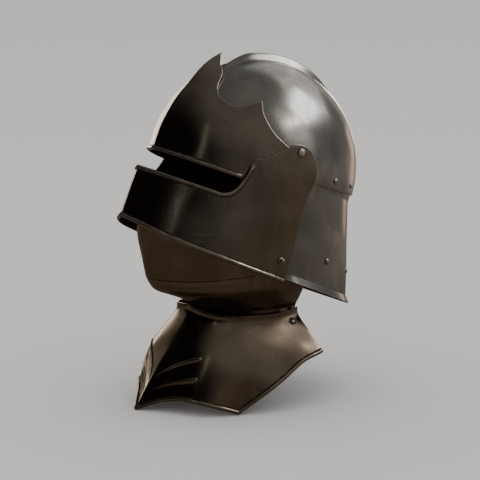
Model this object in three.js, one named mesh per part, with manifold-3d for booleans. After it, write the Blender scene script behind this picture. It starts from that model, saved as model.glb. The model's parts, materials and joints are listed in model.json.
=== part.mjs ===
// Sallet helmet with its bevor: a steel war helmet of lapped plates, worn tilted back over a
// chin and neck defence. Millimetres, +Z up, the face towards -Y, the wearer's left on +X.
// The origin is where the crown bears on the head, so everything hangs below it.

import * as THREE from 'three';
import { mergeVertices } from 'three/addons/utils/BufferGeometryUtils.js';
import Module from 'manifold-3d';

const wasm = await Module();
wasm.setup();

// ---- Driving dimensions ----------------------------------------------------------------

const steel = 1.5;            // thickness of every plate
const lap = 0.8;              // clearance between two lapped plates
const touch = 0.4;            // clearance under rivet heads and around shanks
const tilt = 23;              // the helmet leans back on the head by this angle, degrees
const roll = { height: 5, proud: 2.4 };      // rolled edges: width along the plate, relief
const hide = 0.001;           // relief that stands for none where a rolled edge fades out

// The crown is an ellipsoid above its widest level and goes straight down below it. Its
// centre line stands `back` behind the visor pivots.
const crown = { half: 104, front: 145, rear: 142, rise: 139, level: -31, back: 15 };
const comb = { height: 9, top: 3.4, foot: 8.5, start: 44, full: 66, fade: 98, end: 158 };
const skullEdge = { front: -6, rear: 175.5 };                      // degrees round the crown

const brow = {
  bottom: -56, end: 97, keel: 7, keelWidth: 15, peak: 9, peakWidth: 8, peakFrom: 25, peakTo: 76,
  rollFade: 46, rollEnd: 51,
};
const visor = {
  half: 109, front: 152, keel: 15, keelWidth: 20, curl: 190,
  sight: -80, end: 101.5, rollFade: 54, rollEnd: 62,
  waistFrom: 85, waistHeight: -62, waistReach: 38, waist: 7,
};
const tail = {
  start: 82, top: -17, bottom: -154, flange: 8, flangeOut: 3, flangeRear: 1.5,
  sideFlare: 1.5, rearFlare: 45, flangeFrom: 103, flangeFull: 114,
};
const chin = {
  crease: -160, neck: -203, bottom: -230, end: 112, raise: 14, keel: 8, keelWidth: 9,
};
const gorget = { collar: 8, shoulder: 45, tip: -327, end: 108, flareAtCollar: 0.12 };
const gorgetPivot = {
  azimuth: 98, height: -222, clearance: 1.3, slant: 1.6,
  ear: 8, earFade: 6, earLow: -214, earHigh: -204,
};
const pivotScrew = {
  head: 5.2, dome: 2.6, slot: 1.3, shank: 2.5, nut: 4.6, nutHeight: 3, stand: 1.2,
};
const rivet = { head: 3.7, dome: 2.1, shank: 1.9, burr: 3, burrHeight: 0.8 };
const stud = { radius: 2.6, length: 6.5, collar: 3.8, collarHeight: 1.2, fillet: 0.5, chamfer: 0.8 };

// Rivets on each side, as [degrees from the back of the head, height].
const skullRivets = [[13, -10], [36, -12], [58, -16]];               // join skull and tail
const tailRivets = [[24, -116], [48.5, -114.5]];                     // hold the lining
const studPlace = { azimuth: 94, height: -134 };

// ---- Small tools ------------------------------------------------------------------------

const radians = THREE.MathUtils.degToRad;
const v3 = (x, y, z) => new THREE.Vector3(x, y, z);

// Smooth curve through [place, value] knots.
function through(...knots) {
  const places = knots.map((knot) => knot[0]);
  const values = knots.map((knot) => knot[1]);
  const curve = new THREE.CubicInterpolant(places, values, 1, [0]);
  return (place) => curve.evaluate(place)[0];
}

// The same, for an outline that both sides of the middle plane share.
function mirrored(...knots) {
  const curve = through(...knots);
  return (azimuth) => curve(Math.abs(azimuth));
}

// Two curves meeting in a cusp at `place`.
const meeting = (place, before, after) => (u) => (Math.abs(u) <= place ? before(u) : after(u));

const step = THREE.MathUtils.smoothstep;
const ridge = (distance, width) => Math.exp(-(Math.hypot(distance, 1.5) - 1.5) / width);

// The same list of stations on both sides of the middle plane.
const bothSides = (list) => [...list.filter((u) => u > 0).map((u) => -u).reverse(), ...list];

function evenly(from, to, count) {
  return Array.from({ length: count + 1 }, (_, i) => from + ((to - from) * i) / count);
}

// Rows of a plate from its lower to its upper edge, as [place, relief]; a rolled edge adds
// rows that stand proud of the plate.
function rows(low, high, count, { rollLow = 0, rollHigh = 0 } = {}) {
  const bead = [[0, 0.45], [0.18, 0.85], [0.5, 1], [0.82, 0.8]];
  const start = rollLow > 0 ? low + roll.height : low;
  const stop = rollHigh > 0 ? high - roll.height : high;
  const plain = evenly(start, stop, count).map((place) => [place, 0]);
  if (rollLow > 0) {
    plain.unshift(...bead.map(([k, p]) => [low + k * roll.height, p * rollLow]));
  }
  if (rollHigh > 0) {
    const upper = bead.map(([k, p]) => [high - k * roll.height, p * rollHigh]);
    plain.push(...upper.reverse());
  }
  return plain;
}

// ---- Plates -----------------------------------------------------------------------------

// Outward normal of a face by small differences; at a pole it points away from `centre`.
function outwardNormal(face, u, v, centre) {
  const small = 0.01;
  const across = face(u + small, v).sub(face(u - small, v));
  const along = face(u, v + small).sub(face(u, v - small));
  const outward = face(u, v).sub(centre);
  const normal = across.cross(along);
  if (normal.length() < 1e-9) return outward.normalize();
  return normal.dot(outward) < 0 ? normal.normalize().negate() : normal.normalize();
}

// A closed plate. `columns` run round it, `rowsAt(u)` gives each column's rows and
// `face(u, v)` is the outer face without its rolled edges.
function plateGeometry(columns, rowsAt, face, centre) {
  const outer = [];
  const inner = [];
  for (const u of columns) {
    for (const [v, relief] of rowsAt(u)) {
      const point = face(u, v);
      const normal = outwardNormal(face, u, v, centre);
      outer.push(point.clone().addScaledVector(normal, relief));
      inner.push(point.clone().addScaledVector(normal, -steel));
    }
  }
  const count = outer.length / columns.length;
  const triangles = [];
  const quad = (a, b, c, d) => triangles.push(a, b, c, a, c, d);
  const place = (column, row) => column * count + row;
  for (let i = 0; i + 1 < columns.length; i += 1) {
    for (let j = 0; j + 1 < count; j += 1) {
      const corners = [place(i, j), place(i + 1, j), place(i + 1, j + 1), place(i, j + 1)];
      quad(...corners);
      quad(...corners.map((corner) => corner + outer.length).reverse());
    }
  }
  const rim = [];
  for (let i = 0; i < columns.length; i += 1) rim.push(place(i, 0));
  for (let j = 1; j < count; j += 1) rim.push(place(columns.length - 1, j));
  for (let i = columns.length - 2; i >= 0; i -= 1) rim.push(place(i, count - 1));
  for (let j = count - 2; j > 0; j -= 1) rim.push(place(0, j));
  rim.forEach((here, i) => {
    const next = rim[(i + 1) % rim.length];
    quad(next, here, here + outer.length, next + outer.length);
  });
  const geometry = new THREE.BufferGeometry();
  const points = [...outer, ...inner].flatMap((point) => point.toArray());
  geometry.setAttribute('position', new THREE.Float32BufferAttribute(points, 3));
  geometry.setIndex(triangles);
  return closed(geometry);
}

// Merges equal corners and drops the slivers that a pole leaves.
function closed(source) {
  const bare = source.clone();
  bare.deleteAttribute('normal');
  bare.deleteAttribute('uv');
  const merged = mergeVertices(bare, 1e-3);
  const index = Array.from(merged.index.array);
  const kept = [];
  for (let i = 0; i < index.length; i += 3) {
    const [a, b, c] = index.slice(i, i + 3);
    if (a !== b && b !== c && c !== a) kept.push(a, b, c);
  }
  merged.setIndex(kept);
  return merged;
}

function toSolid(geometry) {
  const merged = closed(geometry);
  return new wasm.Manifold(new wasm.Mesh({
    numProp: 3,
    vertProperties: new Float32Array(merged.attributes.position.array),
    triVerts: new Uint32Array(merged.index.array),
  }));
}

function fromSolid(solid) {
  const mesh = solid.getMesh();
  const geometry = new THREE.BufferGeometry();
  geometry.setAttribute('position', new THREE.BufferAttribute(mesh.vertProperties, 3));
  geometry.setIndex(new THREE.BufferAttribute(mesh.triVerts, 1));
  return geometry;
}

// Cuts a round hole through a plate at each seat.
function pierce(geometry, seats, radius) {
  const reach = 24;
  const cut = seats.reduce((solid, seat) => {
    const drill = new THREE.CylinderGeometry(radius, radius, reach, 12);
    return solid.subtract(toSolid(drill.applyMatrix4(seatMatrix(seat))));
  }, toSolid(geometry));
  return fromSolid(cut);
}

// ---- Faces of the helmet's plates, round the upright line behind the pivots ---------------

const helmetCentre = v3(0, crown.back, crown.level - 10);

// Point of the crown's outer face by azimuth from the front and height, `off` outside it.
function crownPoint(azimuth, height, off = 0) {
  const angle = radians(azimuth);
  const depth = Math.cos(angle) > 0 ? crown.front : crown.rear;
  const reach = 1 / Math.hypot(Math.sin(angle) / crown.half, Math.cos(angle) / depth);
  const climb = Math.max(height - crown.level, 0) / crown.rise;
  const narrowing = Math.sqrt(Math.max(1 - climb * climb, 0));
  const x = reach * narrowing * Math.sin(angle);
  const y = -reach * narrowing * Math.cos(angle);
  const normal = v3(x / crown.half ** 2, y / depth ** 2, climb / crown.rise).normalize();
  return v3(x, y + crown.back, height).addScaledVector(normal, off);
}

// The skull's face: `across` is the angle towards the ears, `along` runs from the brow over
// the top to the nape. The comb rises from the middle.
function skullFace(across, along) {
  const a = radians(across);
  const b = radians(along);
  const depth = Math.cos(b) > 0 ? crown.front : crown.rear;
  const x = crown.half * Math.sin(a);
  const y = -depth * Math.cos(a) * Math.cos(b);
  const z = crown.rise * Math.cos(a) * Math.sin(b);
  const normal = v3(x / crown.half ** 2, y / depth ** 2, z / crown.rise ** 2).normalize();
  const rise = step(along, comb.start, comb.full) * (1 - step(along, comb.fade, comb.end));
  const profile = 1 - step(Math.abs(x), comb.top, comb.foot);
  return v3(x, y + crown.back, z + crown.level).addScaledVector(normal, comb.height * rise * profile);
}

const browOffset = lap + steel;

function browFace(azimuth, height) {
  const plain = crownPoint(azimuth, height);
  const keel = brow.keel * ridge(plain.x, brow.keelWidth);
  const peak = brow.peak * step(height, brow.peakFrom, brow.peakTo) * ridge(plain.x, brow.peakWidth);
  return crownPoint(azimuth, height, browOffset + keel + peak);
}

function visorFace(azimuth, height) {
  const waist = visor.waist * step(Math.abs(azimuth), visor.waistFrom, visor.end)
    * Math.exp(-(((height - visor.waistHeight) / visor.waistReach) ** 2));
  const angle = radians(azimuth) - Math.sign(azimuth) * (waist / visor.half);
  const depth = Math.cos(angle) > 0 ? visor.front : crown.rear;
  const reach = 1 / Math.hypot(Math.sin(angle) / visor.half, Math.cos(angle) / depth);
  const climb = Math.max(height - crown.level, 0) / visor.curl;
  const x = reach * Math.sin(angle) * Math.sqrt(1 - climb * climb);
  const keel = visor.keel * ridge(x, visor.keelWidth);
  const y = -reach * Math.cos(angle) - keel * Math.cos(angle);
  return v3(x, y + crown.back, height);
}

function tailFace(azimuth, height) {
  const drop = Math.max(crown.level - height, 0) / (crown.level - tail.bottom);
  const back = Math.max(-Math.cos(radians(azimuth)), 0);
  const flare = drop * (tail.sideFlare + tail.rearFlare * back ** 2);
  const turn = step(height, tail.bottom, tail.bottom + tail.flange);
  const free = step(180 - Math.abs(azimuth - 180), tail.flangeFrom, tail.flangeFull);
  const flange = free * (1 - turn) * (tail.flangeOut + tail.flangeRear * back);
  return crownPoint(azimuth, height, -browOffset).add(
    v3(Math.sin(radians(azimuth)), -Math.cos(radians(azimuth)), 0).multiplyScalar(flare + flange));
}

// ---- Faces of the bevor's plates, round an upright line -----------------------------------

const bevorCentre = v3(0, 0, -180);

// Gorget plate: distance from the middle by azimuth at the collar's foot, at the shoulders and
// at the hem; the front is a broad keeled shield between two soft corners.
const gorgetFoot = mirrored([0, 98], [12, 99], [25, 99], [36, 93], [48, 82], [75, 70], [110, 70]);
const gorgetShoulder = mirrored([0, 131], [12, 132], [24, 133], [36, 127], [48, 116], [75, 103],
  [110, 114]);
const gorgetHemReach = mirrored([0, 180], [12, 166], [24, 158], [36, 144], [48, 124], [75, 133],
  [110, 150]);
const gorgetTop = mirrored([0, -201], [15, -204], [40, -209], [70, -211], [90, -210], [110, -206]);

function gorgetReach(azimuth, height) {
  const below = gorgetTop(azimuth) - gorget.collar - height;
  const hemDrop = gorgetTop(0) - gorget.collar - gorget.tip;
  const profile = through([0, gorgetFoot(azimuth)], [gorget.shoulder, gorgetShoulder(azimuth)],
    [hemDrop, gorgetHemReach(azimuth)]);
  return below > 0 ? profile(below) : gorgetFoot(azimuth) - below * gorget.flareAtCollar;
}

function gorgetFace(azimuth, height) {
  const reach = gorgetReach(azimuth, height);
  const angle = radians(azimuth);
  return v3(reach * Math.sin(angle), -reach * Math.cos(angle), height);
}

// Chin plate: an upright face down to the crease, an undercut to the neck, then the short neck
// that stands inside the gorget's collar. Each is a distance from the middle by height.
const chinFront = through([-232, 92], [-215, 92], [-205, 93], [-199, 97], [-190, 114], [-176, 147],
  [-160, 158], [-137, 166], [-96, 170], [-40, 158]);
const chinSide = through([-232, 64.5], [-215, 64.5], [-205, 65], [-192, 73], [-176, 85], [-160, 90],
  [-137, 93], [-96, 95], [-40, 94]);

function chinFace(azimuth, height) {
  const angle = radians(azimuth);
  const side = 1 - Math.cos(Math.min(Math.abs(angle), Math.PI / 2));
  const half = chinSide(height);
  const keel = chin.keel * step(height, chin.neck, chin.crease);
  const front = chinFront(height) - keel;
  const depth = Math.cos(angle) > 0 ? front : half;
  const bowl = 1 / Math.hypot(Math.sin(angle) / half, Math.cos(angle) / depth)
    + keel * ridge(azimuth, chin.keelWidth);
  const lift = chin.raise * side * step(height, chin.neck, chin.crease);
  // Below the collar's rim an ear at each side flares out to meet the gorget's pivot rivet.
  const across = radians(Math.abs(azimuth) - gorgetPivot.azimuth) * bowl;
  const ear = (1 - step(Math.abs(across), gorgetPivot.ear, gorgetPivot.ear + gorgetPivot.earFade))
    * (1 - step(height, gorgetPivot.earLow, gorgetPivot.earHigh));
  const inside = gorgetReach(azimuth, height) - (steel + gorgetPivot.clearance) * gorgetPivot.slant;
  const reach = bowl + ear * Math.max(inside - bowl, 0);
  return v3(reach * Math.sin(angle), -reach * Math.cos(angle), height + lift);
}

// ---- Outlines ---------------------------------------------------------------------------

const browTop = meeting(44.6,
  meeting(5.5, mirrored([0, 75], [5.5, 66.5]),
    mirrored([5.5, 66.5], [9.5, 63], [13, 55], [15.5, 44], [18, 36.5], [22, 30], [26, 27],
      [31.6, 25.5], [36, 28.5], [40, 35.5], [44.6, 43])),
  mirrored([44.6, 43], [48.3, 30.5], [52.5, 21.5], [61, 9], [70, 2], [80, -3], [97, -14]));

const visorTop = meeting(38,
  () => visor.sight,
  mirrored([38, visor.sight], [44, -79], [48.5, -71], [51.5, -55], [53.5, -35], [60, -23],
    [68, -8], [74, 2], [79, 8], [86, 8], [92, 2], [97, -8], [100, -18], [101.5, -32]));

const visorBottom = mirrored([0, -147], [10, -150], [25, -154], [45, -156.5], [70, -158], [102, -159]);

const chinTop = mirrored([0, -40], [24, -44], [40, -56], [60, -72], [112, -84]);

const gorgetHem = meeting(48,
  mirrored([0, gorget.tip], [10, -314], [22, -309], [35, -315], [48, gorget.tip]),
  mirrored([48, gorget.tip], [62, -306], [78, -284], [92, -268], [108, -259]));

// ---- Fastenings ---------------------------------------------------------------------------

// A seat is a point of a face with the direction its fastener points to.
function seatOn(face, azimuth, height, centre) {
  return { point: face(azimuth, height), normal: outwardNormal(face, azimuth, height, centre) };
}

function seatMatrix({ point, normal }) {
  const turn = new THREE.Quaternion().setFromUnitVectors(v3(0, 1, 0), normal);
  return new THREE.Matrix4().compose(point, turn, v3(1, 1, 1));
}

// Lathe profile of a domed rivet; `grip` is what it passes through, measured down from 0.
function rivetProfile({ head, dome, shank, burr, burrHeight }, grip) {
  const arc = evenly(0, 90, 4).map((angle) => new THREE.Vector2(
    head * Math.cos(radians(angle)), touch + dome * Math.sin(radians(angle))));
  arc[arc.length - 1].x = 0;
  const under = -grip - touch;
  return [
    new THREE.Vector2(0, under - burrHeight), new THREE.Vector2(burr, under - burrHeight),
    new THREE.Vector2(burr, under), new THREE.Vector2(shank, under),
    new THREE.Vector2(shank, touch), ...arc,
  ];
}

const turned = (profile, sides = 12) => new THREE.LatheGeometry(profile, sides);

function rivetGeometry(size, grip) {
  return turned(rivetProfile(size, grip));
}

// ---- Materials ----------------------------------------------------------------------------

const greySteel = { color: 0x8d8f8e, roughness: 0.28, metalness: 1 };
const warmSteel = { color: 0x857f76, roughness: 0.32, metalness: 1 };
const darkSteel = { color: 0x6f675c, roughness: 0.36, metalness: 1 };
const rivetSteel = { color: 0x9a968e, roughness: 0.3, metalness: 1 };

function piece(name, geometry, look) {
  const mesh = new THREE.Mesh(geometry, new THREE.MeshStandardMaterial(look));
  mesh.name = name;
  return mesh;
}

// ---- Helmet ---------------------------------------------------------------------------------

const sides = [['left', 1], ['right', -1]];

// The visor turns on a line straight across the helmet, so its seats face sideways.
const pivotAzimuth = THREE.MathUtils.radToDeg(Math.atan2(visor.half, crown.back));
const pivotSeats = sides.map(([, side]) => (
  { point: v3(side * visorFace(pivotAzimuth, 0).x, 0, 0), normal: v3(side, 0, 0) }));

// Fasteners of one row on both sides of a face, each with its seat and place in the name.
function rivetRow(face, row) {
  return sides.flatMap(([label, side]) => row.map(([fromBack, height], i) => {
    const seat = seatOn(face, side > 0 ? 180 - fromBack : 180 + fromBack, height, helmetCentre);
    return { seat, label: `${label}_${i + 1}` };
  }));
}

const skullRow = rivetRow((azimuth, height) => crownPoint(azimuth, height), skullRivets);
const tailRow = rivetRow(tailFace, tailRivets);
const studSeat = seatOn(visorFace, studPlace.azimuth, studPlace.height, helmetCentre);

function skull() {
  const combStations = [0, comb.top, (comb.top + comb.foot) / 2, comb.foot];
  const middle = combStations.map((x) => THREE.MathUtils.radToDeg(Math.asin(x / crown.half)));
  const across = bothSides([...middle, ...evenly(11, 90, 8)]);
  const along = evenly(skullEdge.front, skullEdge.rear, 22).map((place) => [place, 0]);
  return plateGeometry(across, () => along, skullFace, v3(0, crown.back, crown.level));
}

function browPlate() {
  const stations = [0, 2, 5.5, 9.5, 13, 15.5, 18, 22, 26, 31.6, 36, 40, 44.6, 48.3, 52.5, 61, 70,
    79, 88, brow.end];
  const rowsAt = (u) => {
    const shown = Math.max(1 - step(Math.abs(u), brow.rollFade, brow.rollEnd), hide);
    return rows(brow.bottom, browTop(u), 5, { rollLow: shown * roll.proud });
  };
  return plateGeometry(bothSides(stations), rowsAt, browFace, helmetCentre);
}

function visorPlate() {
  const stations = [0, 1.5, 5, 10, 17, 24, 31, 38, 44, 48.5, 51.5, 53.5, 60, 68, 74, 79, 86, 92, 97,
    100, visor.end];
  const rowsAt = (u) => {
    const shown = Math.max(1 - step(Math.abs(u), visor.rollFade, visor.rollEnd), hide);
    return rows(visorBottom(u), visorTop(u), 4,
      { rollLow: roll.proud, rollHigh: shown * roll.proud });
  };
  return plateGeometry(bothSides(stations), rowsAt, visorFace, helmetCentre);
}

function tailPlate() {
  const around = evenly(tail.start, 360 - tail.start, 26);
  const heights = [...evenly(tail.bottom, tail.bottom + tail.flange, 2),
    ...evenly(tail.bottom + tail.flange, tail.top, 5).slice(1)].map((height) => [height, 0]);
  return plateGeometry(around, () => heights, tailFace, helmetCentre);
}

const shankHole = rivet.shank + touch;
const seatsOf = (row) => row.map(({ seat }) => seat);

// Slotted screw through the visor arm, brow plate and skull, with its nut inside.
function pivotScrewGeometry() {
  const { head, dome, slot, shank, nut, nutHeight, stand } = pivotScrew;
  const grip = pivotSeats[0].point.x - crownPoint(pivotAzimuth, 0).x + steel + stand;
  const profile = rivetProfile({ head, dome, shank, burr: nut, burrHeight: nutHeight }, grip);
  const cutter = new THREE.BoxGeometry(slot, dome, 4 * head).translate(0, touch + dome * 1.1, 0);
  return fromSolid(toSolid(turned(profile, 20)).subtract(toSolid(cutter)));
}

// Plain stud near the visor's lower rear corner, with a low collar under it.
function studGeometry() {
  const { radius, length, collar, collarHeight, fillet, chamfer } = stud;
  const under = -steel - touch;
  const points = [[0, under - rivet.burrHeight], [rivet.burr, under - rivet.burrHeight],
    [rivet.burr, under], [rivet.shank, under], [rivet.shank, touch], [collar, touch],
    [collar, touch + collarHeight], [radius, touch + collarHeight + fillet],
    [radius, length - chamfer], [radius - chamfer, length], [0, length]];
  return turned(points.map(([x, y]) => new THREE.Vector2(x, y)));
}

// Puts a fastener on its seat.
const fastener = (name, geometry, seat) =>
  piece(name, geometry.clone().applyMatrix4(seatMatrix(seat)), rivetSteel);

const helmet = new THREE.Group();
helmet.rotation.x = radians(-tilt);
const pivotHole = pivotScrew.shank + touch;
helmet.add(
  piece('skull', pierce(pierce(skull(), seatsOf(skullRow), shankHole), pivotSeats, pivotHole),
    greySteel),
  piece('brow_plate', pierce(browPlate(), pivotSeats, pivotHole), warmSteel),
  piece('visor', pierce(pierce(visorPlate(), pivotSeats, pivotHole), [studSeat], shankHole), warmSteel),
  piece('tail_plate', pierce(tailPlate(), seatsOf([...skullRow, ...tailRow]), shankHole), greySteel),
  fastener('visor_stud', studGeometry(), studSeat),
);
sides.forEach(([label], i) => {
  helmet.add(fastener(`pivot_screw_${label}`, pivotScrewGeometry(), pivotSeats[i]));
});
skullRow.forEach(({ seat, label }) => {
  helmet.add(fastener(`skull_rivet_${label}`, rivetGeometry(rivet, 2 * steel + lap), seat));
});
tailRow.forEach(({ seat, label }) => {
  helmet.add(fastener(`tail_rivet_${label}`, rivetGeometry(rivet, steel + touch), seat));
});

// ---- Bevor ----------------------------------------------------------------------------------

function chinPlate() {
  const around = bothSides([0, 3, 8, 15, 24, 34, 45, 56, 67, 78, 85, 89, 93, 98, 103, 107, chin.end]);
  const heights = [chin.bottom, -215, -205, -198, -188, -176, chin.crease, -130, -96];
  const rowsAt = (u) => [...heights, chinTop(u)].map((height) => [height, 0]);
  return plateGeometry(around, rowsAt, chinFace, bevorCentre);
}

function gorgetPlate() {
  const around = bothSides([0, 2, 6, 12, 18, 24, 30, 36, 42, 48, 56, 64, 73, 82, 90, 99, gorget.end]);
  const rowsAt = (u) => rows(gorgetHem(u), gorgetTop(u), 6, { rollLow: roll.proud });
  return plateGeometry(around, rowsAt, gorgetFace, bevorCentre);
}

// The gorget hangs on one rivet at each side and can dip about the line through them.
const gorgetSeats = sides.map(([, side]) =>
  seatOn(gorgetFace, side * gorgetPivot.azimuth, gorgetPivot.height, bevorCentre));
const gorgetGrip = 2 * steel + gorgetPivot.clearance;

const bevor = new THREE.Group();
bevor.add(
  piece('chin_plate', pierce(chinPlate(), gorgetSeats, shankHole), darkSteel),
  piece('gorget_plate', pierce(gorgetPlate(), gorgetSeats, shankHole), darkSteel),
);
sides.forEach(([label], i) => {
  bevor.add(fastener(`gorget_rivet_${label}`, rivetGeometry(rivet, gorgetGrip), gorgetSeats[i]));
});

// ---- The whole --------------------------------------------------------------------------------

// The crown bears on the head where its inner face is level, a little forward of the top.
function headSeat() {
  const up = v3(0, -Math.sin(radians(tilt)), Math.cos(radians(tilt)));
  const span = Math.hypot(crown.front * up.y, crown.rise * up.z);
  const forward = crown.back + crown.front ** 2 * up.y / span;
  const seat = v3(0, forward, crown.level + crown.rise ** 2 * up.z / span);
  return seat.addScaledVector(up, -steel).applyEuler(helmet.rotation);
}

const sallet = new THREE.Group();
sallet.position.copy(headSeat()).negate();
sallet.add(helmet, bevor);

export default sallet;
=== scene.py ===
# Sallet helmet with its bevor: fine steel plates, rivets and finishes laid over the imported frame.
# The frame is in metres. Plate shapes are worked out in millimetres and scaled when a mesh is made.

import json
import math

import bpy
import numpy as np
from mathutils import Matrix, Vector


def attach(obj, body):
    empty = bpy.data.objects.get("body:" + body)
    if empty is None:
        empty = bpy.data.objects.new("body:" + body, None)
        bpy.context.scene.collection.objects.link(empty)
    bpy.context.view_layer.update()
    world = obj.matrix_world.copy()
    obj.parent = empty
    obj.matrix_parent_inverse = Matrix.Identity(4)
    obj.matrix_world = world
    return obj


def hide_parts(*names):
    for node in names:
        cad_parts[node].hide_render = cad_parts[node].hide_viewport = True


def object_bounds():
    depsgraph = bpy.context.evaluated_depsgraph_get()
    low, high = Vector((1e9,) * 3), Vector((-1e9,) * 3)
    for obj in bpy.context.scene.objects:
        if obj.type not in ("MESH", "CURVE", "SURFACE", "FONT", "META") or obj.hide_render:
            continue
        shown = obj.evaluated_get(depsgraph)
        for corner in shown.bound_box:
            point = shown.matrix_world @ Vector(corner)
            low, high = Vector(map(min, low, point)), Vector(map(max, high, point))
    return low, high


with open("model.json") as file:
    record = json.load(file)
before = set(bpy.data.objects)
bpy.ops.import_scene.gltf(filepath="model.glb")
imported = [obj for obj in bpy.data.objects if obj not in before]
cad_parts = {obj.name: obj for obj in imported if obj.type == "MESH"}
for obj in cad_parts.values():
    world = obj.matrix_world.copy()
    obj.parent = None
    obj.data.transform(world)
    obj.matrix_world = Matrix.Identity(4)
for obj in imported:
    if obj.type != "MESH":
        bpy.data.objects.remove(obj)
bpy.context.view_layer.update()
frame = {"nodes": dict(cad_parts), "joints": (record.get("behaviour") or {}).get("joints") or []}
print("frame loaded:", len(frame["nodes"]), "nodes")

mm = 0.001

# What all plates share, in millimetres and degrees.
plates = {"thickness": 1.5, "lap": 0.8, "tilt": 23, "dents": 0.16, "rimBulge": 0.28}
rolledEdge = {"width": 5.0, "proud": 2.4, "footGap": 0.3, "footWidth": 1.1, "wearAndSheen": 0.8}
lean = math.radians(plates["tilt"])
helmetUp = Vector((0, math.sin(lean), math.cos(lean)))

joints = {joint["name"]: joint for joint in frame["joints"]}
visorPivot = np.array(joints["visor_pivot"]["pos_m"])


def through(*knots):
    # a smooth curve through (place, value) knots, its slope at a knot the mean of both sides
    places = np.array([knot[0] for knot in knots], float)
    values = np.array([knot[1] for knot in knots], float)
    chords = np.diff(values) / np.diff(places)
    slopes = np.concatenate([chords[:1], (chords[1:] + chords[:-1]) / 2, chords[-1:]])

    def curve(place):
        place = np.clip(place, places[0], places[-1])
        i = np.clip(np.searchsorted(places, place, side="right") - 1, 0, len(places) - 2)
        width = places[i + 1] - places[i]
        p = (place - places[i]) / width
        start = values[i] * (1 + 2 * p) * (1 - p) ** 2 + slopes[i] * width * p * (1 - p) ** 2
        return start + values[i + 1] * p * p * (3 - 2 * p) - slopes[i + 1] * width * p * p * (1 - p)

    return curve


def fair(*knots):
    # a fairer curve through the same kind of knots, for faces that reflections run across
    places = np.array([knot[0] for knot in knots], float)
    values = np.array([knot[1] for knot in knots], float)
    h = np.diff(places)
    system = np.eye(len(places))
    right = np.zeros(len(places))
    for k in range(1, len(places) - 1):
        system[k, k - 1:k + 2] = h[k - 1], 2 * (h[k - 1] + h[k]), h[k]
        right[k] = 6 * ((values[k + 1] - values[k]) / h[k] - (values[k] - values[k - 1]) / h[k - 1])
    bend = np.linalg.solve(system, right)

    def curve(place):
        place = np.clip(place, places[0], places[-1])
        i = np.clip(np.searchsorted(places, place, side="right") - 1, 0, len(places) - 2)
        a, b = places[i + 1] - place, place - places[i]
        cubic = (bend[i] * a ** 3 + bend[i + 1] * b ** 3) / (6 * h[i])
        return (cubic + (values[i] / h[i] - bend[i] * h[i] / 6) * a
                + (values[i + 1] / h[i] - bend[i + 1] * h[i] / 6) * b)

    return curve


def mirrored(curve):
    return lambda azimuth: curve(np.abs(azimuth))


def meeting(place, before, after):
    # two curves that meet in a cusp
    return lambda u: np.where(np.abs(u) <= place, before(u), after(u))


def level(height):
    # an outline at one height
    return lambda u: np.full(np.shape(u), float(height))


def creased(below, above):
    # two curves that meet in the chin's crease
    return lambda height: np.where(height < chin["crease"], below(height), above(height))


def step(x, low, high):
    t = np.clip((x - low) / (high - low), 0, 1)
    return t * t * (3 - 2 * t)


def ridge(distance, width):
    return np.exp(-(np.hypot(distance, 1.5) - 1.5) / width)


def vector(x, y, z):
    return np.stack(np.broadcast_arrays(x, y, z), -1)


def unit(v):
    return v / np.maximum(np.linalg.norm(v, axis=-1, keepdims=True), 1e-12)


# faces of the helmet, round the upright line behind the visor's pivots
crown = {
    "half": 104, "front": 145, "rear": 142, "rise": 139, "level": -31, "back": 15,
    "lapShadow": 0.75, "combFootShadow": 0.55, "rivetRing": 3.6, "hemAlong": 175.5,
}
comb = {"height": 9, "top": 0.9, "foot": 8.5, "start": 44, "full": 66, "fade": 98, "end": 158}
helmetCentre = np.array([0, crown["back"], crown["level"] - 10])
browOffset = plates["lap"] + plates["thickness"]


def crownPoint(azimuth, height, off=0.0):
    angle = np.radians(azimuth)
    depth = np.where(np.cos(angle) > 0, crown["front"], crown["rear"])
    reach = 1 / np.hypot(np.sin(angle) / crown["half"], np.cos(angle) / depth)
    climb = np.maximum(height - crown["level"], 0) / crown["rise"]
    narrowing = np.sqrt(np.maximum(1 - climb * climb, 0))
    x = reach * narrowing * np.sin(angle)
    y = -reach * narrowing * np.cos(angle)
    normal = unit(vector(x / crown["half"] ** 2, y / depth ** 2, climb / crown["rise"]))
    return vector(x, y + crown["back"], height) + normal * np.asarray(off)[..., None]


def skullFace(across, along):
    a, b = np.radians(across), np.radians(along)
    depth = np.where(np.cos(b) > 0, crown["front"], crown["rear"])
    x = crown["half"] * np.sin(a)
    y = -depth * np.cos(a) * np.cos(b)
    z = crown["rise"] * np.cos(a) * np.sin(b)
    normal = unit(vector(x / crown["half"] ** 2, y / depth ** 2, z / crown["rise"] ** 2))
    rise = step(along, comb["start"], comb["full"]) * (1 - step(along, comb["fade"], comb["end"]))
    profile = 1 - step(np.abs(x), comb["top"], comb["foot"])
    point = vector(x, y + crown["back"], z + crown["level"])
    return point + normal * (comb["height"] * rise * profile)[..., None]


brow = {
    "bottom": -56, "end": 97, "keel": 7, "keelWidth": 15, "peak": 9, "peakWidth": 8,
    "rollEnd": 51,                          # the rolled edge stops under the visor's arm
}


def browFace(azimuth, height):
    plain = crownPoint(azimuth, height)
    keel = brow["keel"] * ridge(plain[..., 0], brow["keelWidth"])
    peak = brow["peak"] * step(height, 25, 76) * ridge(plain[..., 0], brow["peakWidth"])
    return crownPoint(azimuth, height, browOffset + keel + peak)


visor = {
    "half": 109, "front": 152, "keel": 14.5, "keelWidth": 22, "curl": 190,
    "sight": -80, "end": 101.5, "waistHeight": -62, "waist": 7, "rollEnd": 55,
}


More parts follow.
